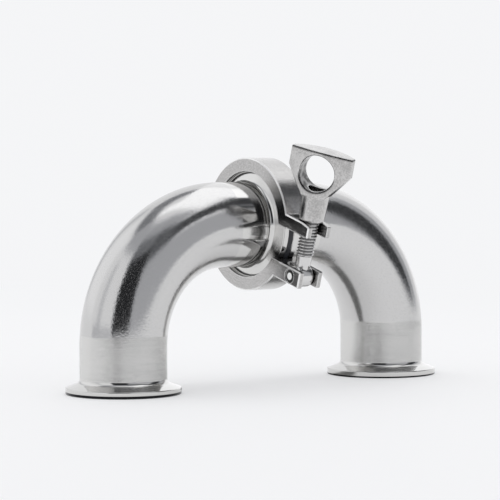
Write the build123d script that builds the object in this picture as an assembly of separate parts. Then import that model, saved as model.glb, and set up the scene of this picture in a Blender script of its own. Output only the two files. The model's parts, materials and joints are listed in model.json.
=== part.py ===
"""Two 90 degree tube elbows with flanged ends, joined into an arch by a hinged clamp.

Each elbow is a bent tube with a flanged ferrule welded to each end. The elbows stand on
their foot ferrules. Their joint ferrules face each other across a rubber gasket and are
held by a two-part clamp ring: a hinge pin at the back, and at the front a swing bolt with
a wing nut that pulls the two lugs together.

Frame: the origin is the centre of the left foot's face, +Z is up along that leg and +X
points to the other foot. The clamp is modelled about its own ring axis, with its lugs to
-Y and its upper half to +Z, and is then rolled about the tube axis into place.
"""
import os
from math import radians, sqrt, tan

from build123d import *

# Driving dimensions, in millimetres and degrees
# Tube and bend
tube_od = 38.1
tube_wall = 1.65
bend_radius = 51.0
ferrule_length = 21.0
# Ferrule
ferrule_od = 50.5
rim_edge = 2.85
rim_taper = 20.0
rim_round = 0.4
neck_round = 2.2
groove_inset = 3.5
groove_radius = 1.6
# Gasket
gasket_thickness = 2.6
gasket_inset = 0.15
gasket_bore_gap = 0.1
bead_clearance = 0.1
# Clamp ring
clamp_roll = 16.5
clamp_width = 13.2
clamp_wall = 4.05
clamp_lip = 1.45
clamp_edge = 0.5
cone_clearance = 0.08
groove_floor_gap = 0.5
# Lugs: their inner faces and thicknesses, and what they reach past the bolt
upper_lug_under = 7.3
upper_lug_thickness = 6.0
lower_lug_top = 8.3
lower_lug_thickness = 7.5
lug_past_bolt = 6.9
lug_corner = 0.6
lug_root_overlap = 2.0
# Hinge
hinge_split = 0.6
knuckle_wall = 2.5
knuckle_middle = 6.2
knuckle_gap = 0.3
hinge_pin_d = 5.0
pin_clearance = 0.03
pin_inset = 0.25
pin_chamfer = 0.5
# Swing bolt
bolt_past_ring = 6.7
bolt_pin_depth = 3.9
bolt_pin_d = 4.7
bolt_pin_recess_wall = 0.85
bolt_pin_recess = 0.8
eye_wall = 2.65
eye_round = 1.4
eye_clearance = 0.4
thread_d = 7.8
slot_gap = 0.3
shank_step = 0.5
shank_length = 9.2
bolt_above_lug = 10.5
bolt_chamfer = 0.7
# Wing nut
nut_seat_gap = 0.3
thread_clearance = 0.06
nut_turn = -59.0
barrel_foot_wall = 1.75
barrel_top_wall = 2.1
barrel_height = 13.0
barrel_round = 0.8
wing_height = 32.0
wing_crown = 0.8
wing_half_span = 14.4
wing_tip_low = 22.8
wing_root_low = 11.6
wing_thickness = 12.0
wing_tip_thickness = 3.4
wing_edge = 0.6
wing_root_overlap = 0.5
finger_hole_d = 16.2
finger_hole_height = 22.1

# Worked out from the dimensions above: elbows and gasket
tube_r = tube_od / 2
bore_r = tube_r - tube_wall
ferrule_r = ferrule_od / 2
groove_circle_r = ferrule_r - groove_inset
gasket_r = ferrule_r - gasket_inset
gasket_bore_r = bore_r + gasket_bore_gap
reach = ferrule_length + bend_radius
joint_x = reach + gasket_thickness / 2
# The clamp, outwards from the ferrules it grips
half_width = clamp_width / 2
lip_r = ferrule_r - clamp_lip
groove_floor_r = ferrule_r + groove_floor_gap
clamp_r = groove_floor_r + clamp_wall
knuckle_radius = hinge_pin_d / 2 + knuckle_wall
hinge_reach = clamp_r + knuckle_radius
bolt_reach = clamp_r + bolt_past_ring
lug_reach = bolt_reach + lug_past_bolt
lug_root = lip_r - lug_root_overlap
upper_lug_top = upper_lug_under + upper_lug_thickness
lower_lug_under = lower_lug_top + lower_lug_thickness
# The slots take the thread, and the eye stands in the lower one with a little more room
lug_slot = thread_d + 2 * slot_gap
half_slot = lug_slot / 2
eye_width = lug_slot - 2 * eye_clearance
eye_r = bolt_pin_d / 2 + eye_wall
bolt_pin_drop = lower_lug_top + bolt_pin_depth
bolt_length = bolt_pin_drop + upper_lug_top + bolt_above_lug
shank_r = thread_d / 2 - shank_step
# Long enough to pass right through the clamp from any point in it
through = 4 * lug_reach
# Two positions closer than this count as the same
near_enough = 0.01

# The ring's cross-section plane: local x runs out to the lugs, local y runs up
SECTION = Plane(origin=(0, 0, 0), x_dir=(0, -1, 0), z_dir=(-1, 0, 0))
clamp_place = Pos(joint_x, 0, reach) * Rot(clamp_roll, 0, 0)


def cone_depth(radius):
    """Thickness of a ferrule rim at a radius, from its face to its tapered back."""
    return rim_edge + (ferrule_r - radius) * tan(radians(rim_taper))


def ferrule():
    """Flanged tube end: face at z = 0, neck up to z = ferrule_length."""
    neck = Polyline(
        (bore_r, 0),
        (ferrule_r, 0),
        (ferrule_r, rim_edge),
        (tube_r, cone_depth(tube_r)),
        (tube_r, ferrule_length),
        (bore_r, ferrule_length),
        close=True,
    )
    profile = make_face(neck)
    corners = profile.vertices()
    profile = fillet(corners.filter_by(lambda v: v.X > ferrule_r - near_enough), rim_round)
    inner = profile.vertices().filter_by(
        lambda v: abs(v.X - tube_r) < near_enough and v.Y < ferrule_length - near_enough
    )
    profile = fillet(inner, neck_round)
    profile -= Pos(groove_circle_r, 0) * Circle(groove_radius)
    return revolve(Plane.XZ * profile, Axis.Z)


def bend():
    """Quarter of a torus tube, from the left leg's top to the level joint."""
    ring = Circle(tube_r) - Circle(bore_r)
    start = Pos(0, 0, ferrule_length) * ring
    return revolve(start, Axis((bend_radius, 0, ferrule_length), (0, 1, 0)), 90)


def gasket():
    """Flat ring about the X axis with a round bead on each side."""
    middle = (gasket_r + gasket_bore_r) / 2
    profile = Pos(0, middle) * Rectangle(gasket_thickness, gasket_r - gasket_bore_r)
    bead_r = groove_radius - bead_clearance
    for side in (-1, 1):
        profile += Pos(side * gasket_thickness / 2, groove_circle_r) * Circle(bead_r)
    return revolve(profile, Axis.X)


def channel_void():
    """Inside of the clamp ring: open lips and a tapered groove that takes both rims."""
    side = gasket_thickness / 2 + cone_clearance
    profile = make_face(
        Polyline(
            (-clamp_width, 0),
            (-clamp_width, lip_r),
            (-side - cone_depth(lip_r), lip_r),
            (-side - cone_depth(groove_floor_r), groove_floor_r),
            (side + cone_depth(groove_floor_r), groove_floor_r),
            (side + cone_depth(lip_r), lip_r),
            (clamp_width, lip_r),
            (clamp_width, 0),
            close=True,
        )
    )
    return revolve(profile, Axis.X)


def across(width, sketch):
    """Extrude a ring-section sketch to a width centred on the joint plane."""
    return extrude(SECTION * sketch, width / 2, both=True)


def rod(diameter, length, reach_out, up, chamfered=0.0):
    """Round bar along X at a point of the ring's section."""
    bar = Cylinder(diameter / 2, length)
    if chamfered:
        bar = chamfer(bar.edges().filter_by(GeomType.CIRCLE), chamfered)
    return Pos(0, -reach_out, up) * Rot(0, 90, 0) * bar


def box_section(out_0, out_1, up_0, up_1):
    """Rectangle of the ring's section, given by its edges."""
    return Pos((out_0 + out_1) / 2, (up_0 + up_1) / 2) * Rectangle(
        abs(out_1 - out_0), abs(up_1 - up_0)
    )


def lug_cut(inner_end):
    """Open-ended slot through a lug, round at its inner end."""
    plan = Pos(0, -inner_end - half_slot) * Circle(half_slot)
    plan += Pos(0, -inner_end - half_slot - lug_reach / 2) * Rectangle(lug_slot, lug_reach)
    return extrude(plan, through / 2, both=True)


def ring_blank():
    """Solid disc of the clamp ring's outline, with its two outer edges broken."""
    disc = Cylinder(clamp_r, clamp_width)
    disc = chamfer(disc.edges().filter_by(GeomType.CIRCLE), clamp_edge)
    return Rot(0, 90, 0) * disc


def clamp_lug(side, near, far):
    """Lug block from the lip to its rounded end, with its outer edges broken."""
    lug = box_section(lug_root, lug_reach, side * near, side * far)
    if side > 0:
        # Outside the bolt the top falls away on an arc about the bolt's pin, so the nut can
        # swing off it
        crown = bolt_pin_drop + upper_lug_top
        inside = box_section(0, bolt_reach, 0, lug_reach)
        lug &= Pos(bolt_reach, -bolt_pin_drop) * Circle(crown) + inside
    ends = lug.vertices().filter_by(lambda v: v.X > lug_reach - near_enough)
    block = across(clamp_width, fillet(ends, lug_corner))
    rim = block.faces().sort_by(Axis.X)
    outer = rim[0].edges() + rim[-1].edges()
    outer = outer.filter_by(lambda e: (e @ 0.5).Y < -lug_root - near_enough)
    return chamfer(outer, clamp_edge)


def clamp_half(upper):
    """One half of the clamp ring with its lug and its hinge knuckles."""
    side = 1 if upper else -1
    near, far = (upper_lug_under, upper_lug_top) if upper else (lower_lug_top, lower_lug_under)
    front = box_section(0, through, side * near, side * through)
    back = box_section(-through, 0, side * hinge_split, side * through)
    half = ring_blank() & across(2 * clamp_width, front + back)
    half += clamp_lug(side, near, far)
    knuckle = Pos(-hinge_reach, 0) * Circle(knuckle_radius)
    web = box_section(-hinge_reach, -lip_r, side * hinge_split, side * knuckle_radius)
    half += across(clamp_width, knuckle + web)
    half -= channel_void()
    # Room for the other half's knuckles
    middle = knuckle_middle / 2
    swing_r = knuckle_radius + knuckle_gap
    if upper:
        half -= rod(2 * swing_r, 2 * (middle + knuckle_gap), -hinge_reach, 0)
    else:
        for end in (-1, 1):
            shift = Pos(end * (middle + clamp_width / 2), 0, 0)
            half -= shift * rod(2 * swing_r, clamp_width, -hinge_reach, 0)
    half -= rod(hinge_pin_d + 2 * pin_clearance, 2 * clamp_width, -hinge_reach, 0)
    if upper:
        half -= lug_cut(bolt_reach - half_slot - eye_clearance) & across(
            clamp_width, box_section(0, through, 0, through)
        )
    else:
        # The eye's square corners have to clear the slot's round end
        corner_depth = half_slot - sqrt(half_slot**2 - (eye_width / 2) ** 2)
        slot = lug_cut(bolt_reach - eye_r - eye_clearance - corner_depth)
        half -= slot & across(clamp_width, box_section(0, through, -through, 0))
        half -= rod(bolt_pin_d + 2 * pin_clearance, 2 * clamp_width, bolt_reach, -bolt_pin_drop)
        recess_d = bolt_pin_d + 2 * bolt_pin_recess_wall
        for end in (-1, 1):
            recess = rod(recess_d, 2 * bolt_pin_recess, bolt_reach, -bolt_pin_drop)
            half -= Pos(end * half_width, 0, 0) * recess
    return half


def swing_bolt():
    """Eye about the bolt pin, plain shank and threaded rod, standing square to the lugs."""
    eye = Cylinder(eye_r, eye_width)
    eye = fillet(eye.edges().filter_by(GeomType.CIRCLE), eye_round)
    eye = Rot(0, 90, 0) * eye
    shank = Pos(0, 0, shank_length / 2) * Cylinder(shank_r, shank_length)
    thread = Cylinder(thread_d / 2, bolt_length - shank_length)
    thread = chamfer(thread.edges().filter_by(GeomType.CIRCLE), bolt_chamfer)
    thread = Pos(0, 0, (bolt_length + shank_length) / 2) * thread
    bolt = eye + shank + thread
    bolt -= Rot(0, 90, 0) * Cylinder(bolt_pin_d / 2 + pin_clearance, 2 * eye_width)
    return Pos(0, -bolt_reach, -bolt_pin_drop) * bolt


def wing_nut():
    """Tapered barrel that grows into a thick lens-shaped wing plate with a finger hole."""
    barrel_top_r = thread_d / 2 + barrel_top_wall
    barrel = Cone(thread_d / 2 + barrel_foot_wall, barrel_top_r, barrel_height)
    barrel = fillet(barrel.edges().sort_by(Axis.Z)[0], barrel_round)
    barrel = Pos(0, 0, barrel_height / 2) * barrel
    # Front outline of the wings
    root = barrel_top_r - wing_root_overlap
    top_low = wing_height - wing_crown
    right = Line((wing_half_span, top_low), (wing_half_span, wing_tip_low))
    slant_right = Line((wing_half_span, wing_tip_low), (root, wing_root_low))
    foot = Line((root, wing_root_low), (-root, wing_root_low))
    slant_left = Line((-root, wing_root_low), (-wing_half_span, wing_tip_low))
    left = Line((-wing_half_span, wing_tip_low), (-wing_half_span, top_low))
    top = ThreePointArc((-wing_half_span, top_low), (0, wing_height), (wing_half_span, top_low))
    front = make_face([right, slant_right, foot, slant_left, left, top])
    plate = extrude(Plane.XZ * front, wing_thickness, both=True)
    # Plan of the wings: two arcs that meet in blunt tips
    mid, tip = wing_thickness / 2, wing_tip_thickness / 2
    edge_a = ThreePointArc((-wing_half_span, tip), (0, mid), (wing_half_span, tip))
    edge_b = ThreePointArc((wing_half_span, -tip), (0, -mid), (-wing_half_span, -tip))
    end_a = Line((wing_half_span, tip), (wing_half_span, -tip))
    end_b = Line((-wing_half_span, -tip), (-wing_half_span, tip))
    plan = make_face([edge_a, end_a, edge_b, end_b])
    plate &= extrude(plan, 2 * wing_height)
    hole = Cylinder(finger_hole_d / 2, 2 * wing_thickness)
    plate -= Pos(0, 0, finger_hole_height) * Rot(90, 0, 0) * hole
    # Every edge is rounded but those that run into the barrel
    free = plate.edges().filter_by(lambda e: (e @ 0.5).Z > wing_root_low + near_enough)
    plate = fillet(free, wing_edge)
    nut = barrel + plate
    nut -= Pos(0, 0, finger_hole_height / 2) * Cylinder(
        thread_d / 2 + thread_clearance, finger_hole_height
    )
    lift = upper_lug_top + nut_seat_gap
    return Pos(0, -bolt_reach, lift) * Rot(0, 0, nut_turn) * nut


# Elbows
mirror_right = Plane.YZ.offset(joint_x)
left_parts = {
    "left_bend": bend(),
    "left_foot_ferrule": ferrule(),
    "left_joint_ferrule": Pos(reach, 0, reach) * Rot(0, -90, 0) * ferrule(),
}
parts = dict(left_parts)
for name, solid in left_parts.items():
    parts[name.replace("left", "right")] = mirror(solid, mirror_right)

# Joint and clamp
parts["gasket"] = Pos(joint_x, 0, reach) * gasket()
pin_length = clamp_width - 2 * pin_inset
clamp_parts = {
    "upper_clamp_half": clamp_half(upper=True),
    "lower_clamp_half": clamp_half(upper=False),
    "hinge_pin": rod(hinge_pin_d, pin_length, -hinge_reach, 0, pin_chamfer),
    "bolt_pin": rod(bolt_pin_d, pin_length, bolt_reach, -bolt_pin_drop, pin_chamfer),
    "swing_bolt": swing_bolt(),
    "wing_nut": wing_nut(),
}
for name, solid in clamp_parts.items():
    parts[name] = clamp_place * solid

os.makedirs("parts", exist_ok=True)
for name, solid in parts.items():
    export_step(solid, f"parts/{name}.step")
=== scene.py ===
"""Looks of a clamped pair of sanitary elbows: satin tube, turned ferrules, cast clamp and a
threaded swing bolt, standing on a pale floor in soft studio light."""
import json
from math import atan2, cos, pi, radians, sin

import bpy
import numpy as np
from mathutils import Matrix, Vector

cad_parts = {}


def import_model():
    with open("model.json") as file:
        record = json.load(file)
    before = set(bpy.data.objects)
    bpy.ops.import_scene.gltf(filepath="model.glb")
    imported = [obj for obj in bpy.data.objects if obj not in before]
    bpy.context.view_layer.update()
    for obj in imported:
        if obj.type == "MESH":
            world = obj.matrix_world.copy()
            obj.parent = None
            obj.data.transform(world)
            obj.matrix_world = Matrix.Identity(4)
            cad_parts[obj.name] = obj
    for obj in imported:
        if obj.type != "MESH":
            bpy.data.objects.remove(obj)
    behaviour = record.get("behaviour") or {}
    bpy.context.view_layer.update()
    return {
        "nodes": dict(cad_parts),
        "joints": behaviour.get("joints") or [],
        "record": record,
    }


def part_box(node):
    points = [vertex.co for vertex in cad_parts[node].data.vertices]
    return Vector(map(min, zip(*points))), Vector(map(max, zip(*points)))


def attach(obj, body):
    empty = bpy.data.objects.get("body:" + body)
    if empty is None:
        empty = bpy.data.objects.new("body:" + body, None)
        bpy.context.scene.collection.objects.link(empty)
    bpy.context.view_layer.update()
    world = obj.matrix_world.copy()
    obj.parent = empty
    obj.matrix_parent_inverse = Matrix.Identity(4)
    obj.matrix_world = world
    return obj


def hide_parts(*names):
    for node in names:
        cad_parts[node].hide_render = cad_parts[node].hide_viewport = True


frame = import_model()
nodes = frame["nodes"]
joints = {joint["name"]: joint for joint in frame["joints"]}
MM = 0.001

# Camera: direction from the object, distance, lens and aim point, from the photo's outlines
CAMERA_AZIMUTH = -37.402
CAMERA_ELEVATION = 2.742
CAMERA_ROLL = -0.095
CAMERA_DISTANCE = 1118.573 * MM
FOCAL_PIXELS = 2485.732
IMAGE_PIXELS = 500
SENSOR_MM = 36.0
AIM = Vector((69.23, 0.0, 60.253)) * MM

# Places of the joint, the feet and the hinge, from the CAD nodes' own boxes
FOOT_LOW, FOOT_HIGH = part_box("left_foot_ferrule")
GASKET_LOW, GASKET_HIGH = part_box("gasket")
HINGE_LOW, HINGE_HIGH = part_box("hinge_pin")
FERRULE_LENGTH = FOOT_HIGH.z - FOOT_LOW.z
JOINT_X = (GASKET_LOW.x + GASKET_HIGH.x) / 2
JOINT_Z = (GASKET_LOW.z + GASKET_HIGH.z) / 2
CLAMP_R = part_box("upper_clamp_half")[1].z - JOINT_Z
HINGE_MIDDLE = (HINGE_LOW + HINGE_HIGH) / 2

# Swing bolt: where its pin is, and the directions along it, along its pin and across both
BOLT_PIN = Vector(joints["bolt_swing"]["pos_m"])
ALONG_BOLT = Vector(joints["wing_nut_turn"]["axis"]).normalized()
ALONG_PIN = Vector(joints["bolt_swing"]["axis"]).normalized()
LUG_LINE = ALONG_BOLT.cross(ALONG_PIN)
CLAMP_LEAN = atan2(LUG_LINE.z, LUG_LINE.y)

# Finger hole: the middle of its opening, its axis as the nut is turned, and its radius
OPENINGS = {opening["name"]: opening["box_m"] for opening in frame["record"]["physics"]["openings"]}
HOLE_LOW, HOLE_HIGH = (Vector(corner) for corner in OPENINGS["wing_finger_hole"])
HOLE_MIDDLE = (HOLE_LOW + HOLE_HIGH) / 2
NUT_TURN = radians(-59.0)
HOLE_AXIS = LUG_LINE * cos(NUT_TURN) - ALONG_PIN * sin(NUT_TURN)
FINGER_HOLE_R = 8.1 * MM

# Foot: the brushed neck starts past the flange's cone and runs on past the weld, onto the bend,
# where a seam that wanders a little ends it. The flange's lower lip is darkened with a painted
# contact shadow up to a height that changes between the feet.
CONE_END = 6.5 * MM
NECK_PAST_WELD = 4.5 * MM
SEAM_SOFT = 0.4 * MM
SEAM_WANDER = 0.8 * MM
SEAM_WAVE = 9 * MM
LEFT_LIP = 1.15 * MM
RIGHT_LIP = 0.70 * MM
BETWEEN_FEET = (60 * MM, 90 * MM)

# Joint ferrules: how far in front of the tubes' axis and how far below it their rims are painted
# with shade in the lower clamp half, and how far they reach from the joint's middle
RIM_FRONT = (16 * MM, 20 * MM)
RIM_BELOW = (4.0 * MM, 6.2 * MM)
RIM_REACH = (5 * MM, 6 * MM)

# Clamp castings: half widths of the slots and of the ring, the lugs' inner faces above and
# below the joint's middle, the radius of the ring's lips, and where painted shade darkens the lugs'
# sides
SLOT_HALF = 4.15 * MM
SIDE_FACE = 6.6 * MM
UPPER_INNER = 7.3 * MM
LOWER_INNER = 8.3 * MM
LIP_R = 23.8 * MM
LUG_FADE = (12 * MM, 34 * MM)

# Pins: the lower lug's recess round the bolt pin, painted with shade, and how far each pin's bright
# face reaches before its rim is painted with shade
PIN_RECESS_R = 3.1 * MM
PIN_FACE_R = 1.35 * MM
HINGE_FACE_R = 2.1 * MM
PIN_RIM = 0.5 * MM

# Colours of the tubes, the ferrules, the castings, the nut, the pins and the bolt
BRUSHED_GREY = (0.68, 0.675, 0.662)
SATIN_GREY = (0.635, 0.63, 0.625)
# painted contact shadow along the foot flanges' lower lip
LIP_SHADOW_BLACK = (0.02, 0.02, 0.022)
# painted shade in crevices
CREVICE_SHADE_GREY = (0.16, 0.16, 0.16)
# painted shade and painted dark reflection, shared by several finishes
PAINTED_DARK_GREY = (0.05, 0.05, 0.05)
CAST_DARK = (0.44, 0.433, 0.427)
CAST_LIGHT = (0.56, 0.551, 0.543)
# worn edges, painted bright as a highlight as well
WORN_HIGHLIGHT_GREY = (0.92, 0.915, 0.91)
# painted shade on the lugs' side faces, upper and lower, and its lighter streaks
UPPER_SHADE = (0.07, 0.07, 0.07)
LOWER_SHADE = (0.10, 0.098, 0.097)
STREAK_GREY = (0.27, 0.267, 0.264)
# painted shade in the recess round the bolt pin
RECESS_SHADE_GREY = (0.09, 0.088, 0.087)
NUT_DARK = (0.43, 0.424, 0.418)
NUT_LIGHT = (0.60, 0.591, 0.583)
# painted shade on the finger hole's wall, dark and lighter
HOLE_SHADE_DARK = (0.07, 0.069, 0.068)
HOLE_SHADE_LIGHT = (0.33, 0.325, 0.322)
PIN_GREY = (0.80, 0.80, 0.79)
# painted shade in the thread's roots
ROOT_SHADE_GREY = (0.22, 0.22, 0.222)
CREST_GREY = (0.70, 0.695, 0.69)
RUBBER_BLACK = (0.022, 0.024, 0.03)
FLOOR_WHITE = (0.90, 0.90, 0.905)

# Sizes of the marks in the finishes
RING_SPACING = 0.02 * MM
SATIN_GRAIN = 0.8 * MM
SATIN_CLOUD = 14 * MM
SPARKLE_SIZE = 0.5 * MM
FERRULE_GRAIN = 0.6 * MM
CAST_GRAIN = 0.6 * MM
CAST_CLOUD = 6 * MM
STREAK_WIDTH = 1.1 * MM
STREAK_STRETCH = (1.0, 6.0, 1.0)
STREAK_WANDER = 8 * MM
NUT_GRAIN = 0.7 * MM
NUT_CLOUD = 7 * MM
HOLE_CLOUD = 2.4 * MM
PIN_GRAIN = 0.4 * MM
THREAD_GRAIN = 0.4 * MM
RUBBER_GRAIN = 0.5 * MM

# Spans over which a pattern, an openness or a slope goes from 0 to 1 and, where there is a
# second one, back to 0
SPECKLE_SPAN = (0.42, 0.66)
SPARKLE_SPAN = (0.52, 0.66)
CAST_PIT_SPAN = (0.35, 0.65)
STREAK_SPAN = (0.50, 0.68)
NUT_PIT_SPAN = (0.80, 1.20)
HOLE_SPAN = (0.35, 0.62)
OPEN_SPAN = (0.12, 0.55)
UNWORN_UNHIGHLIT_SPAN = (0.82, 0.985)
CHAMFER_SPANS = (0.20, 0.35), (0.90, 0.97)
TOP_EDGE_SPANS = (0.06, 0.20), (0.80, 0.92)

# Roughness of each finish, before what its marks add or take away
BEND_ROUGHNESS = 0.16
FERRULE_ROUGHNESS = 0.11
CAST_ROUGHNESS = 0.18
NUT_ROUGHNESS = 0.16
PIN_ROUGHNESS = 0.14
THREAD_ROUGHNESS = 0.16
RUBBER_ROUGHNESS = 0.42
FLOOR_ROUGHNESS = 0.7
FLOOR_SHEEN = 0.15

# How far the painted crevice shade reaches, radii that edges are eased to and worn and painted
# bright to, and heights of the finishes' relief, which are in millimetres
FERRULE_CREVICE = 2.0 * MM
CAST_CREVICE = 2.5 * MM
CAST_EDGE_R = 0.45 * MM
CAST_WEAR_HIGHLIGHT_R = 1.0 * MM
NUT_EDGE_R = 0.9 * MM
NUT_WEAR_HIGHLIGHT_R = 1.4 * MM
RING_HEIGHT = 0.032
BRUSHED_HEIGHT = 0.004
SATIN_HEIGHT = 0.030
CAST_HEIGHT = 0.060
NUT_HEIGHT = 0.022

# Swing bolt, in its own axes: x along its pin, z along the bolt, origin on the pin. Half the
# thread's crest and its flank are shares of the pitch.
THREAD_R = 3.9 * MM
THREAD_DEPTH = 0.72 * MM
THREAD_PITCH = 1.41 * MM
THREAD_CREST_HALF = 1 / 12
THREAD_FLANK = 1 / 3
THREAD_START = 9.2 * MM
SHANK_R = 3.4 * MM
BOLT_TOP = 36.0 * MM
BOLT_CHAMFER = 0.7 * MM
EYE_R = 5.0 * MM
EYE_HALF_WIDTH = 3.8 * MM
EYE_ROUND = 1.4 * MM
EYE_BORE_R = 2.38 * MM
EYE_SINK = 3.4 * MM
BOLT_AROUND = 72
SHANK_ROWS = 12
THREAD_ROWS = 248
EYE_STEPS = 96
EYE_CORNER_STEPS = 9


class Value:
    """A socket that can be used in an expression; each operator adds its Math node."""

    def __init__(self, tree, socket):
        self.tree = tree
        self.socket = socket

    def math(self, operation, *others):
        sockets = dict(enumerate((self, *others)))
        return self.tree.node("ShaderNodeMath", {"operation": operation}, sockets)

    def __add__(self, other):
        return self.math("ADD", other)

    def __sub__(self, other):
        return self.math("SUBTRACT", other)

    def __mul__(self, other):
        return self.math("MULTIPLY", other)

    def __rsub__(self, other):
        sockets = {0: other, 1: self}
        return self.tree.node("ShaderNodeMath", {"operation": "SUBTRACT"}, sockets)

    __radd__ = __add__
    __rmul__ = __mul__

    def smooth(self, low, high):
        """0 below low, 1 above high and a smooth step between them."""
        settings = {"interpolation_type": "SMOOTHSTEP"}
        sockets = {"Value": self, "From Min": low, "From Max": high}
        return self.tree.node("ShaderNodeMapRange", settings, sockets)

    def fall(self, low, high):
        """1 below low, 0 above high and a smooth step between them."""
        return 1 - self.smooth(low, high)


class Tree:
    """The nodes of a material or world, with the one method that adds any node."""

    def __init__(self, owner):
        owner.use_nodes = True
        self.nodes = owner.node_tree.nodes
        self.links = owner.node_tree.links

    def plug(self, socket, value):
        """Puts a value or a link into a socket."""
        if isinstance(value, Value):
            self.links.new(value.socket, socket)
        else:
            socket.default_value = value

    def node(self, kind, settings, sockets, output=0):
        """Adds any node: its settings first, then its sockets by name or number."""
        made = self.nodes.new(kind)
        for key, setting in settings.items():
            setattr(made, key, setting)
        for key, value in sockets.items():
            self.plug(made.inputs[key], value)
        return Value(self, made.outputs[output])


class Finish(Tree):
    """A material with one Principled shader, built from expressions."""

    def __init__(self, name):
        self.material = bpy.data.materials.new(name)
        super().__init__(self.material)
        self.shader = self.nodes["Principled BSDF"]

    def set(self, name, value):
        """Puts a value, a colour or a link into one of the shader's sockets."""
        self.plug(self.shader.inputs[name], value)

    def place(self):
        """Object coordinates: the place in the row's frame, in metres."""
        return self.node("ShaderNodeTexCoord", {}, {}, "Object")

    def axis(self, letter):
        """One of the three coordinates."""
        return self.node("ShaderNodeSeparateXYZ", {}, {0: self.place()}, letter)

    def noise(self, size, detail=2.0, stretch=(1.0, 1.0, 1.0), lean=0.0):
        """Cloudy pattern from 0 to 1 with features of a size in metres, stretched along axes
        that lean about X."""
        sockets = {"Vector": self.place(), "Rotation": (lean, 0.0, 0.0), "Scale": stretch}
        where = self.node("ShaderNodeMapping", {"vector_type": "TEXTURE"}, sockets)
        sockets = {"Vector": where, "Scale": 1.0 / size, "Detail": detail}
        return self.node("ShaderNodeTexNoise", {}, sockets)

    def rings(self, size):
        """Fine marks that run level round an upright tube, from 0 to 1."""
        sockets = {"W": self.axis("Z"), "Scale": 1.0 / size, "Detail": 0.0}
        return self.node("ShaderNodeTexNoise", {"noise_dimensions": "1D"}, sockets)

    def vectors(self, operation, *both, output=0):
        """A vector operation; a length or a dot product is in its output Value."""
        settings, sockets = {"operation": operation}, dict(enumerate(both))
        return self.node("ShaderNodeVectorMath", settings, sockets, output)

    def off_line(self, point, direction):
        """Distance from the line through a point in a direction."""
        arm = self.vectors("SUBTRACT", self.place(), point)
        return self.vectors("LENGTH", self.vectors("CROSS_PRODUCT", arm, direction), output="Value")

    def above_joint(self):
        """Height above the joint's middle, along the bolt."""
        height = self.vectors("DOT_PRODUCT", self.place(), ALONG_BOLT, output="Value")
        return height - JOINT_Z * ALONG_BOLT.z

    def eased(self, radius):
        """The normal with every edge eased to a radius."""
        return self.node("ShaderNodeBevel", {"samples": 6}, {0: radius})

    def crevice(self, reach):
        """1 deep in a crevice or close beside another part, 0 in the open: the mask for painted
        shade.
        """
        sockets = {"Distance": reach}
        open_part = self.node("ShaderNodeAmbientOcclusion", {"samples": 8}, sockets, "AO")
        return open_part.fall(*OPEN_SPAN)

    def edge_wear_highlight(self, eased):
        """1 along edges, where the eased normal leaves the face's own, and 0 elsewhere."""
        flat = self.node("ShaderNodeNewGeometry", {}, {}, "True Normal")
        along = self.vectors("DOT_PRODUCT", eased, flat, output="Value")
        return along.fall(*UNWORN_UNHIGHLIT_SPAN)

    def broken_edge(self):
        """1 on the small chamfers and rounds between side faces and the faces across them."""
        flat = self.node("ShaderNodeNewGeometry", {}, {}, "True Normal")
        sideways = self.vectors("DOT_PRODUCT", flat, ALONG_PIN, output="Value").math("ABSOLUTE")
        return sideways.smooth(*CHAMFER_SPANS[0]) * sideways.fall(*CHAMFER_SPANS[1])

    def blend(self, factor, first, second):
        """The first colour where the factor is 0 and the second where it is 1; the Mix node
        has its colours at inputs 6 and 7 and at output 2."""
        first, second = (c if isinstance(c, Value) else (*c, 1.0) for c in (first, second))
        sockets = {"Factor": factor, 6: first, 7: second}
        return self.node("ShaderNodeMix", {"data_type": "RGBA"}, sockets, 2)

    def bump(self, height, **normal):
        """Raises the surface by a height in millimetres."""
        sockets = {"Strength": 1.0, "Distance": MM, "Height": height, **normal}
        self.set("Normal", self.node("ShaderNodeBump", {}, sockets))


def bend_finish():
    """Belt-polished tube: speckled satin along the bend, brushed in rings at its foot."""
    finish = Finish("satin_tube")
    edge = FERRULE_LENGTH + NECK_PAST_WELD
    wander = (finish.noise(SEAM_WAVE, 1.0) - 0.5) * SEAM_WANDER
    polished = (finish.axis("Z") + wander).smooth(edge - SEAM_SOFT, edge + SEAM_SOFT)
    grain = finish.noise(SATIN_GRAIN, 4.0)
    speckle = grain.smooth(*SPECKLE_SPAN)
    cloud = finish.noise(SATIN_CLOUD, 2.0)
    duller = speckle * 0.08 + (cloud - 0.5) * 0.08
    finish.set("Roughness", BEND_ROUGHNESS - polished * 0.05 + duller)
    sparkle = finish.noise(SPARKLE_SIZE, 3.0).smooth(*SPARKLE_SPAN)
    finish.set("Metallic", 1 - sparkle * polished * 0.11)
    finish.set("Base Color", finish.blend(polished, BRUSHED_GREY, SATIN_GREY))
    ring_height = finish.rings(RING_SPACING) * (1 - polished) * RING_HEIGHT
    grain_height = BRUSHED_HEIGHT + polished * (SATIN_HEIGHT - BRUSHED_HEIGHT)
    finish.bump(grain * grain_height + ring_height)
    return finish.material


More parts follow.
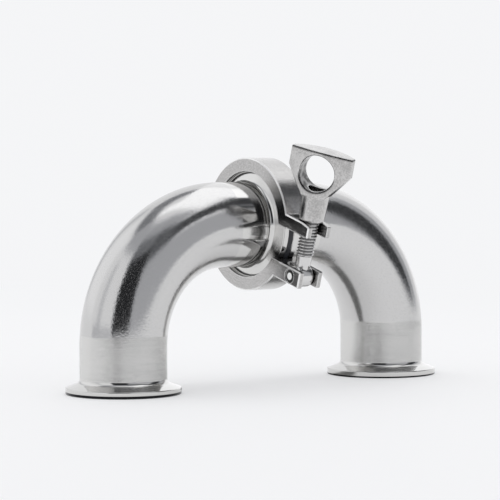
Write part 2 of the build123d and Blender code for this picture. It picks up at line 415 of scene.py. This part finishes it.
def ferrule_finish():
    """Turned ferrule: a bright flange, with painted shade at its lower lip (a contact shadow), in
    crevices and deep in the lower clamp half, and a neck that is brushed in rings at the foot only."""
    finish = Finish("turned_ferrule")
    finish.set("Metallic", 1.0)
    z = finish.axis("Z")
    foot_neck = z.fall(FERRULE_LENGTH + MM, FERRULE_LENGTH + 2 * MM)
    neck = z.smooth(CONE_END - 0.5 * MM, CONE_END + 0.5 * MM) * foot_neck
    grain = finish.noise(FERRULE_GRAIN, 3.0)
    finish.set("Roughness", FERRULE_ROUGHNESS + neck * 0.05 + (grain - 0.5) * 0.10)
    # Painted contact shadow: the flange's lowest band is coloured black, to a height that is
    # greater on the left foot
    lip_height = LEFT_LIP - finish.axis("X").smooth(*BETWEEN_FEET) * (LEFT_LIP - RIGHT_LIP)
    lip = (z - lip_height).fall(0.0, 0.15 * MM)
    below_joint = finish.above_joint() * -1
    from_joint = (finish.axis("X") - JOINT_X).math("ABSOLUTE")
    rim = (finish.axis("Y") * -1).smooth(*RIM_FRONT) * from_joint.fall(*RIM_REACH)
    sunk_shade = rim * below_joint.smooth(*RIM_BELOW)
    # Painted shade: crevices and places beside other parts are darkened
    tint = finish.blend(finish.crevice(FERRULE_CREVICE), BRUSHED_GREY, CREVICE_SHADE_GREY)
    # Painted shade on the joint ferrules' rims deep in the lower clamp half
    tint = finish.blend(sunk_shade, tint, PAINTED_DARK_GREY)
    finish.set("Base Color", finish.blend(lip, tint, LIP_SHADOW_BLACK))
    finish.bump(grain * BRUSHED_HEIGHT + finish.rings(RING_SPACING) * neck * RING_HEIGHT)
    return finish.material


def cast_finish(name, face_shade, lug_inner):
    """Blasted and tumbled casting: fine pits and a soft sheen, edges worn and painted bright as a
    highlight, painted shade in the slots, the crevices, on the lug's inner face, the bore's lip and
    the recess round the bolt pin, and side faces darkened towards the lug with painted shade, down
    to a shade colour."""
    finish = Finish(name)
    front = finish.axis("Y") * -1
    z = finish.axis("Z") - JOINT_Z
    radius = (front * front + z * z).math("SQRT")
    lug = radius.smooth(CLAMP_R + 0.5 * MM, CLAMP_R + 1.5 * MM) * front.smooth(0.0, MM)
    off_middle = (finish.axis("X") - JOINT_X).math("ABSOLUTE")
    # Painted shade in the slots, on the bore's lip, on the lugs' inner faces and in crevices
    slot = lug * off_middle.fall(SLOT_HALF - 0.1 * MM, SLOT_HALF + 0.1 * MM)
    bore = radius.fall(LIP_R + 0.05 * MM, LIP_R + 0.2 * MM)
    bore_lip = bore * off_middle.smooth(SIDE_FACE - 1.4 * MM, SIDE_FACE - 1.2 * MM)
    from_middle = finish.above_joint().math("ABSOLUTE")
    inner = lug * from_middle.fall(lug_inner + 0.15 * MM, lug_inner + 0.35 * MM)
    painted_shade = slot.math("MAXIMUM", bore_lip).math("MAXIMUM", inner)
    painted_shade = painted_shade.math("MAXIMUM", finish.crevice(CAST_CREVICE) * (1 - bore))
    # Painted shade: the side faces darken towards the lug, with lighter streaks
    side_face = off_middle.smooth(SIDE_FACE - 0.3 * MM, SIDE_FACE)
    streaks = finish.noise(STREAK_WIDTH, 3.0, STREAK_STRETCH, CLAMP_LEAN)
    lug_side = (front + (streaks - 0.5) * STREAK_WANDER).smooth(*LUG_FADE) * side_face
    streaked = finish.blend(streaks.smooth(*STREAK_SPAN), face_shade, STREAK_GREY)
    # Painted shade in the lower lug's recess round the bolt pin
    recess = finish.off_line(BOLT_PIN, ALONG_PIN).fall(PIN_RECESS_R - 0.1 * MM, PIN_RECESS_R)
    # Edges worn and painted bright as a highlight; their lower Metallic adds to the painted
    # highlight
    worn_highlight = finish.edge_wear_highlight(finish.eased(CAST_WEAR_HIGHLIGHT_R)).math("MAXIMUM", finish.broken_edge())
    grain = finish.noise(CAST_GRAIN, 4.0)
    pitted = finish.blend(grain.smooth(*CAST_PIT_SPAN), CAST_DARK, CAST_LIGHT)
    tint = finish.blend(lug_side, pitted, streaked)
    tint = finish.blend(painted_shade, tint, PAINTED_DARK_GREY)
    # Worn edges painted bright as a highlight, and the bore inside the lips at the same bright grey
    tint = finish.blend(worn_highlight.math("MAXIMUM", bore - bore_lip), tint, WORN_HIGHLIGHT_GREY)
    finish.set("Base Color", finish.blend(recess, tint, RECESS_SHADE_GREY))
    finish.set("Metallic", 1 - worn_highlight * (1 - recess) * 0.5)
    cloud = finish.noise(CAST_CLOUD, 2.0)
    duller = (grain - 0.5) * 0.20 + (cloud - 0.5) * 0.08
    finish.set("Roughness", CAST_ROUGHNESS - worn_highlight * 0.06 + duller)
    finish.bump(grain * CAST_HEIGHT, Normal=finish.eased(CAST_EDGE_R))
    return finish.material


def nut_finish():
    """Tumbled casting, smoother than the clamp, with edges worn and painted bright as a highlight,
    a painted dark reflection under the wing's top edge, painted shade in crevices and painted shade
    with lighter blotches on the finger hole's wall."""
    finish = Finish("tumbled_nut")
    grain = finish.noise(NUT_GRAIN, 3.0)
    cloud = finish.noise(NUT_CLOUD, 2.0)
    eased = finish.eased(NUT_WEAR_HIGHLIGHT_R)
    own_axes = {"vector_type": "NORMAL", "convert_from": "WORLD", "convert_to": "OBJECT"}
    facing = finish.node("ShaderNodeVectorTransform", own_axes, {"Vector": eased})
    upward = finish.vectors("DOT_PRODUCT", facing, ALONG_BOLT, output="Value")
    from_hole = finish.off_line(HOLE_MIDDLE, HOLE_AXIS)
    hole = from_hole.fall(FINGER_HOLE_R + 0.05 * MM, FINGER_HOLE_R + 0.25 * MM)
    # Painted dark reflection along the wing's top edge, where the eased normal faces up and forward
    top_edge = upward.smooth(*TOP_EDGE_SPANS[0]) * upward.fall(*TOP_EDGE_SPANS[1]) * (1 - hole)
    # Edges worn and painted bright as a highlight
    worn_highlight = finish.edge_wear_highlight(eased)
    pitted = finish.blend((grain + cloud).smooth(*NUT_PIT_SPAN), NUT_DARK, NUT_LIGHT)
    # Painted shade on the finger hole's wall, in dark and lighter blotches
    wall_shade_blotches = finish.noise(HOLE_CLOUD, 3.0).smooth(*HOLE_SPAN)
    tint = finish.blend(hole, pitted, finish.blend(wall_shade_blotches, HOLE_SHADE_DARK, HOLE_SHADE_LIGHT))
    # Painted shade in crevices
    tint = finish.blend(finish.crevice(CAST_CREVICE), tint, CREVICE_SHADE_GREY)
    tint = finish.blend(worn_highlight, tint, WORN_HIGHLIGHT_GREY)
    finish.set("Base Color", finish.blend(top_edge, tint, PAINTED_DARK_GREY))
    finish.set("Metallic", 1 - worn_highlight * (1 - top_edge) * 0.3)
    finish.set("Roughness", NUT_ROUGHNESS + (grain - 0.5) * 0.14 + (cloud - 0.5) * 0.06)
    finish.bump(grain * NUT_HEIGHT, Normal=finish.eased(NUT_EDGE_R))
    return finish.material


def pin_finish(name, middle, face_radius):
    """Drawn bar: a bright face, with a rim darkened by painted shade past a radius from its axis.
    """
    finish = Finish(name)
    finish.set("Metallic", 1.0)
    # Painted shade on the pin's rim past its bright face
    rim = finish.off_line(middle, ALONG_PIN).smooth(face_radius, face_radius + PIN_RIM)
    finish.set("Base Color", finish.blend(rim, PIN_GREY, PAINTED_DARK_GREY))
    grain = finish.noise(PIN_GRAIN, 2.0)
    finish.set("Roughness", PIN_ROUGHNESS + (grain - 0.5) * 0.08)
    return finish.material


def rubber_finish():
    """Black rubber."""
    finish = Finish("gasket_black")
    finish.set("Base Color", (*RUBBER_BLACK, 1.0))
    grain = finish.noise(RUBBER_GRAIN, 2.0)
    finish.set("Roughness", RUBBER_ROUGHNESS + (grain - 0.5) * 0.1)
    return finish.material


def add_mesh(name, points, faces):
    """Object from an array of points and a list of quads and caps, shaded smooth."""
    mesh = bpy.data.meshes.new(name)
    mesh.from_pydata(points.tolist(), [], faces)
    mesh.validate()
    mesh.update()
    mesh.polygons.foreach_set("use_smooth", np.ones(len(mesh.polygons), bool))
    thing = bpy.data.objects.new(name, mesh)
    bpy.context.scene.collection.objects.link(thing)
    return thing


def tube_faces(rows, around, first=0, closed=False):
    """Quads of a grid whose rows close on themselves, and whose last row joins the first where
    the grid is closed."""
    r = np.arange(rows if closed else rows - 1)[:, None]
    a = np.arange(around)[None, :]
    b = (a + 1) % around
    low, high = first + r * around, first + (r + 1) % rows * around
    return np.stack([low + a, low + b, high + b, high + a], -1).reshape(-1, 4).tolist()


def patch_faces(rows, columns, inward=False):
    """Quads of an open grid, turned over where it is seen from inside."""
    corner = np.arange(rows - 1)[:, None] * columns + np.arange(columns - 1)[None, :]
    quads = np.stack([corner, corner + 1, corner + columns + 1, corner + columns], -1)
    order = [0, 3, 2, 1] if inward else [0, 1, 2, 3]
    return quads.reshape(-1, 4)[:, order].tolist()


def smooth_step(part):
    """0 below 0, 1 above 1 and a smooth step between them."""
    t = np.clip(part, 0.0, 1.0)
    return t * t * (3 - 2 * t)


def thread_radius(turn, height):
    """A 60 degree thread of one start: its radius is a clipped triangle wave of height over
    pitch less turn, faded in at the shank and cut by a cone at the bolt's end."""
    phase = (height / THREAD_PITCH - turn) % 1.0
    ridge = np.clip(1 - (np.abs(phase - 0.5) - THREAD_CREST_HALF) / THREAD_FLANK, 0.0, 1.0)
    fade_in = np.clip((height - THREAD_START) / THREAD_PITCH, 0.0, 1.0)
    threaded = THREAD_R - THREAD_DEPTH + THREAD_DEPTH * ridge
    radius = SHANK_R + (threaded - SHANK_R) * fade_in
    cone = THREAD_R - BOLT_CHAMFER + (BOLT_TOP - height)
    return np.minimum(radius, cone)


def rod_surface():
    """Rod: a grid of turn and height with the thread's radius, closed by a fan at both ends."""
    turn = np.arange(BOLT_AROUND) / BOLT_AROUND
    shank = np.linspace(EYE_SINK, THREAD_START, SHANK_ROWS, endpoint=False)
    height = np.concatenate([shank, np.linspace(THREAD_START, BOLT_TOP, THREAD_ROWS)])
    t, h = np.meshgrid(turn, height)
    radius = thread_radius(t, h)
    rod = np.stack([radius * np.cos(2 * pi * t), radius * np.sin(2 * pi * t), h], -1)
    points = np.concatenate([rod.reshape(-1, 3), [[0, 0, EYE_SINK], [0, 0, BOLT_TOP]]])
    low_end, top_end = rod.shape[0] * BOLT_AROUND, rod.shape[0] * BOLT_AROUND + 1
    side = np.arange(BOLT_AROUND)
    after = (side + 1) % BOLT_AROUND
    last = low_end - BOLT_AROUND
    bottom = np.stack([after, side, np.full(BOLT_AROUND, low_end)], -1)
    top = np.stack([last + side, last + after, np.full(BOLT_AROUND, top_end)], -1)
    return points, tube_faces(len(height), BOLT_AROUND) + bottom.tolist() + top.tolist()


def eye_surface(first):
    """Eye: a rounded rectangle of width and radius, turned about the pin's axis, with faces
    that count its points from a first one."""
    quarter = np.linspace(0, pi / 2, EYE_CORNER_STEPS)
    outer_x = EYE_HALF_WIDTH - EYE_ROUND + EYE_ROUND * np.cos(quarter)
    outer_r = EYE_R - EYE_ROUND + EYE_ROUND * np.sin(quarter)
    width = np.concatenate([[EYE_HALF_WIDTH], outer_x, -outer_x[::-1], [-EYE_HALF_WIDTH]])
    reach = np.concatenate([[EYE_BORE_R], outer_r, outer_r[::-1], [EYE_BORE_R]])
    angle = np.arange(EYE_STEPS) / EYE_STEPS * 2 * pi
    w, a = np.meshgrid(width, angle)
    r = np.meshgrid(reach, angle)[0]
    points = np.stack([w, r * np.cos(a), r * np.sin(a)], -1).reshape(-1, 3)
    return points, tube_faces(EYE_STEPS, len(width), first, closed=True)


def thread_finish():
    """Rolled thread on a bright shank: bright crests and roots darkened with painted shade, by the
    distance from the bolt's axis."""
    finish = Finish("rolled_thread")
    finish.set("Metallic", 1.0)
    arm = finish.vectors("SUBTRACT", finish.place(), BOLT_PIN)
    height = finish.vectors("DOT_PRODUCT", arm, ALONG_BOLT, output="Value")
    out = finish.off_line(BOLT_PIN, ALONG_BOLT)
    # Painted shade in the thread's roots, by the distance from the axis
    crest = out.smooth(THREAD_R - THREAD_DEPTH, THREAD_R - 0.25 * THREAD_DEPTH)
    plain = height.fall(THREAD_START, THREAD_START + THREAD_PITCH)
    bright = crest.math("MAXIMUM", plain)
    finish.set("Base Color", finish.blend(bright, ROOT_SHADE_GREY, CREST_GREY))
    grain = finish.noise(THREAD_GRAIN, 2.0)
    finish.set("Roughness", THREAD_ROUGHNESS + (grain - 0.5) * 0.08)
    return finish.material


def make_swing_bolt():
    """The bolt stands on its pin and leans with the clamp, as the joints' axes say."""
    rod, rod_faces = rod_surface()
    eye, eye_faces = eye_surface(len(rod))
    own_axes = np.array([ALONG_PIN, LUG_LINE, ALONG_BOLT])
    points = np.concatenate([rod, eye]) @ own_axes + np.array(BOLT_PIN)
    thing = add_mesh("threaded_swing_bolt", points, rod_faces + eye_faces)
    thing.data.materials.append(thread_finish())
    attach(thing, "swing_bolt")
    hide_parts("swing_bolt")


# The studio round the object, seen only in reflections: a pale dome with cards in front of
# it. Each card has the azimuths of its two ends, from the camera's own direction and positive
# to the camera's right, its lowest and highest elevation at either end, how softly it ends
# in degrees, and its brightness. A later card covers an earlier one.
DOME_RADIUS = 2.4
DOME_COLUMNS = 241
DOME_ROWS = 70
DOME_LOWEST = -3.0
DOME_GLOW = 0.93
SURROUND = (0.98, 0.985, 1.0)
DARK_TINT = (0.94, 0.97, 1.05)
SURROUND_SEEN = 0.93
SURROUND_LIGHT = 0.80
CARDS = {
    "overhead_left": ((-200, -96), (76, 100), (77, 100), 3, 1.42),
    "overhead_right": ((66, 200), (58, 100), (58, 100), 9, 1.42),
    "ceiling_far_left": ((-200, -142), (47, 55), (50, 70), 3, 0.25),
    "ceiling_left": ((-142, -88), (54, 71), (59, 77), 3, 0.25),
    "ceiling_front_left": ((-88, -34), (52, 77), (52, 77), 4, 0.49),
    "ceiling_front_high": ((-34, 40), (60, 78), (60, 76), 5, 0.46),
    "ceiling_front_low": ((-34, 34), (44, 63), (44, 61), 4, 0.20),
    "ceiling_right": ((34, 62), (56, 74), (56, 66), 6, 0.46),
    "right_grey": ((13, 81), (-4, 36), (-4, 34), 3, 0.50),
    "front_high_dark": ((13, 44), (33, 58), (35, 56), 4, 0.13),
    "right_high_dark": ((40, 113), (37, 54), (43, 56), 2.5, 0.055),
    "right_dark": ((82, 113), (-1, 42), (-1, 42), 4, 0.045),
    "back_right_grey": ((113, 127), (-1, 42), (-1, 44), 4, 0.42),
    "back_right": ((127, 146), (-1, 44), (-1, 46), 5, 0.86),
    "back": ((146, 200), (-4, 46), (-4, 46), 6, 1.15),
    "back_high": ((113, 200), (48, 100), (46, 100), 3, 1.45),
    "camera_gap": ((-31, 14), (0.5, 47), (0.5, 47), 2.2, 0.025),
    "left_thin": ((-153, -145), (4, 40), (4, 40), 3, 0.62),
    "left_wide": ((-135, -96), (8, 50), (8, 54), 6, 1.06),
    "left_band": ((-77, -65), (0, 44), (0, 44), 4, 0.70),
    "left_horizon": ((-88, -34), (-4, 6), (-4, 6), 2, 0.62),
}

# The arch's shade on the floor, seen only in reflections, as shares of its half length and
# half width where it fades
SHADE_COLUMNS = 49
SHADE_ROWS = 33
SHADE_HALF_LENGTH = 66 * MM
SHADE_HALF_WIDTH = 15 * MM
SHADE_MIDDLE = 4 * MM
SHADE_LIFT = 0.05 * MM
SHADE_END_FADE = 0.3
SHADE_SIDE_FADE = 0.6
SHADE_GLOW = 0.16

# Floor and light, in metres; the floor's glow starts at a share and is full past a distance
FLOOR_RADIUS = 8.0
FLOOR_STEPS = 128
FLOOR_DROP = 0.02 * MM
FLOOR_FADE = (0.22, 0.75)
FLOOR_GLOW_SHARE = 0.4
OVERHEAD_PLACE = (0.2, 0.3, 1.6)
OVERHEAD_SIZE = 1.6
OVERHEAD_WATTS = 8.0


def card_cover(azimuth, elevation, ends, start, end, soft):
    """How far a card covers each direction: 1 within its edges, falling to 0 past them as
    the product of four smooth steps, with edges that run straight from start to end."""
    def step(distance):
        return smooth_step(distance / (2 * soft) + 0.5)

    across = np.clip((azimuth - ends[0]) / (ends[1] - ends[0]), 0.0, 1.0)
    low = start[0] + (end[0] - start[0]) * across
    high = start[1] + (end[1] - start[1]) * across
    sides = step(azimuth - ends[0]) * step(ends[1] - azimuth)
    return sides * step(elevation - low) * step(high - elevation)


def studio_dome():
    """Sphere patch of azimuth and elevation about the aim point, closed at the top, whose
    glow is the pale surround with each card's brightness blended over it."""
    azimuth, elevation = np.meshgrid(
        np.linspace(-180, 180, DOME_COLUMNS), np.linspace(DOME_LOWEST, 90, DOME_ROWS))
    glow = np.full(azimuth.shape, DOME_GLOW)
    for ends, start, end, soft, brightness in CARDS.values():
        cover = card_cover(azimuth, elevation, ends, start, end, soft)
        glow += (brightness - glow) * cover
    pale = np.clip(glow / DOME_GLOW, 0.0, 1.0)[..., None]
    tint = np.array(DARK_TINT) + (np.array(SURROUND) - np.array(DARK_TINT)) * pale
    colour = np.concatenate([glow[..., None] * tint, np.ones(glow.shape + (1,))], -1)

    az = np.radians(CAMERA_AZIMUTH - 90 + azimuth)
    el = np.radians(elevation)
    out = np.stack([np.cos(az) * np.cos(el), np.sin(az) * np.cos(el), np.sin(el)], -1)
    points = out.reshape(-1, 3) * DOME_RADIUS + np.array(AIM)
    dome = add_mesh("studio_dome", points, patch_faces(DOME_ROWS, DOME_COLUMNS, inward=True))
    seen_in_reflections(dome, colour)


def arch_shade():
    """The arch's own shade on the floor, as deep as the metal shows it: a flat grid of length
    and width under the arch, whose cover falls to 0 at its edges as a smooth step."""
    across, along = np.meshgrid(np.linspace(-1, 1, SHADE_COLUMNS), np.linspace(-1, 1, SHADE_ROWS))
    x = JOINT_X + across * SHADE_HALF_LENGTH
    y = SHADE_MIDDLE + along * SHADE_HALF_WIDTH
    points = np.stack([x, y, np.full(x.shape, SHADE_LIFT)], -1).reshape(-1, 3)
    ends = smooth_step((1 - np.abs(across)) / SHADE_END_FADE)
    sides = smooth_step((1 - np.abs(along)) / SHADE_SIDE_FADE)
    shade = np.full(x.shape + (3,), SHADE_GLOW)
    card = add_mesh("arch_shade", points, patch_faces(SHADE_ROWS, SHADE_COLUMNS))
    seen_in_reflections(card, np.concatenate([shade, (ends * sides)[..., None]], -1))


def seen_in_reflections(card, colour):
    """Makes a stage piece that only reflections see, with its glow and cover from an array."""
    card.data.attributes.new("glow", "FLOAT_COLOR", "POINT")
    card.data.attributes["glow"].data.foreach_set("color", colour.ravel())
    material = bpy.data.materials.new(card.name)
    tree = Tree(material)
    tree.nodes.remove(tree.nodes["Principled BSDF"])
    shade, cover = (
        tree.node("ShaderNodeAttribute", {"attribute_name": "glow"}, {}, part)
        for part in ("Color", "Alpha"))
    light = tree.node("ShaderNodeEmission", {}, {"Color": shade, "Strength": 1.0})
    clear = tree.node("ShaderNodeBsdfTransparent", {}, {})
    both = tree.node("ShaderNodeMixShader", {}, {0: cover, 1: clear, 2: light})
    tree.plug(tree.nodes["Material Output"].inputs["Surface"], both)
    card.data.materials.append(material)
    card.visible_camera = False
    card.visible_diffuse = False
    card.visible_shadow = False
    card.visible_transmission = False


def floor():
    """Round pale floor, just under the feet, that runs into the white surround away from them."""
    turn = np.arange(FLOOR_STEPS) / FLOOR_STEPS * 2 * pi
    low = np.full(FLOOR_STEPS, -FLOOR_DROP)
    rim = np.stack([np.cos(turn) * FLOOR_RADIUS, np.sin(turn) * FLOOR_RADIUS, low], -1)
    thing = add_mesh("studio_floor", rim, [list(range(FLOOR_STEPS))])
    finish = Finish("pale_floor")
    finish.set("Base Color", (*FLOOR_WHITE, 1.0))
    finish.set("Roughness", FLOOR_ROUGHNESS)
    finish.set("Specular IOR Level", FLOOR_SHEEN)
    far = finish.vectors("LENGTH", finish.place(), output="Value")
    light = {"Color": (*SURROUND, 1.0), "Strength": SURROUND_SEEN}
    glow = finish.node("ShaderNodeEmission", {}, light)
    near = Value(finish, finish.shader.outputs[0])
    fade = far.smooth(*FLOOR_FADE) * (1 - FLOOR_GLOW_SHARE) + FLOOR_GLOW_SHARE
    blend = finish.node("ShaderNodeMixShader", {}, {0: fade, 1: near, 2: glow})
    finish.plug(finish.nodes["Material Output"].inputs["Surface"], blend)
    thing.data.materials.append(finish.material)


def world():
    """White surround to the camera and to reflections, a little dimmer as a light."""
    surround = bpy.data.worlds.new("white_surround")
    bpy.context.scene.world = surround
    tree = Tree(surround)
    kinds = ("Camera", "Glossy", "Transmission")
    rays = [tree.node("ShaderNodeLightPath", {}, {}, f"Is {kind} Ray") for kind in kinds]
    seen = rays[0].math("MAXIMUM", rays[1]).math("MAXIMUM", rays[2])
    background = tree.nodes["Background"].inputs
    tree.plug(background["Color"], (*SURROUND, 1.0))
    tree.plug(background["Strength"], SURROUND_LIGHT + seen * (SURROUND_SEEN - SURROUND_LIGHT))


def soft_light(name, place, size, power):
    """Square area light aimed at the object, left out of reflections."""
    data = bpy.data.lights.new(name, "AREA")
    data.size = size
    data.energy = power
    lamp = bpy.data.objects.new(name, data)
    lamp.location = place
    lamp.rotation_euler = (AIM - Vector(place)).to_track_quat("-Z", "Y").to_euler()
    lamp.visible_glossy = False
    bpy.context.scene.collection.objects.link(lamp)


def camera():
    """Camera at the photo's direction, distance and lens."""
    a, e, roll = radians(CAMERA_AZIMUTH), radians(CAMERA_ELEVATION), radians(CAMERA_ROLL)
    back = Vector((sin(a) * cos(e), -cos(a) * cos(e), sin(e)))
    right = Vector((cos(a), sin(a), 0.0))
    up = right.cross(-back)
    turned_right = right * cos(roll) + up * sin(roll)
    turned_up = up * cos(roll) - right * sin(roll)
    data = bpy.data.cameras.new("photo_camera")
    data.sensor_width = SENSOR_MM
    data.lens = FOCAL_PIXELS * SENSOR_MM / IMAGE_PIXELS
    view = bpy.data.objects.new("photo_camera", data)
    turn = Matrix((turned_right, turned_up, back)).transposed()
    view.matrix_world = Matrix.Translation(AIM + back * CAMERA_DISTANCE) @ turn.to_4x4()
    bpy.context.scene.collection.objects.link(view)
    bpy.context.scene.camera = view


def dress(names, material):
    """Gives CAD nodes one material each, in place of their own."""
    for name in names:
        nodes[name].data.materials.clear()
        nodes[name].data.materials.append(material)


dress(["left_bend", "right_bend"], bend_finish())
ferrules = [f"{side}_{end}_ferrule" for side in ("left", "right") for end in ("foot", "joint")]
dress(ferrules, ferrule_finish())
dress(["gasket"], rubber_finish())
dress(["upper_clamp_half"], cast_finish("upper_casting", UPPER_SHADE, UPPER_INNER))
dress(["lower_clamp_half"], cast_finish("lower_casting", LOWER_SHADE, LOWER_INNER))
dress(["wing_nut"], nut_finish())
dress(["hinge_pin"], pin_finish("bright_hinge_pin", HINGE_MIDDLE, HINGE_FACE_R))
dress(["bolt_pin"], pin_finish("bright_bolt_pin", BOLT_PIN, PIN_FACE_R))
make_swing_bolt()

studio_dome()
arch_shade()
floor()
world()
soft_light("overhead", OVERHEAD_PLACE, OVERHEAD_SIZE, OVERHEAD_WATTS)
camera()
bpy.context.scene.view_settings.view_transform = "Standard"
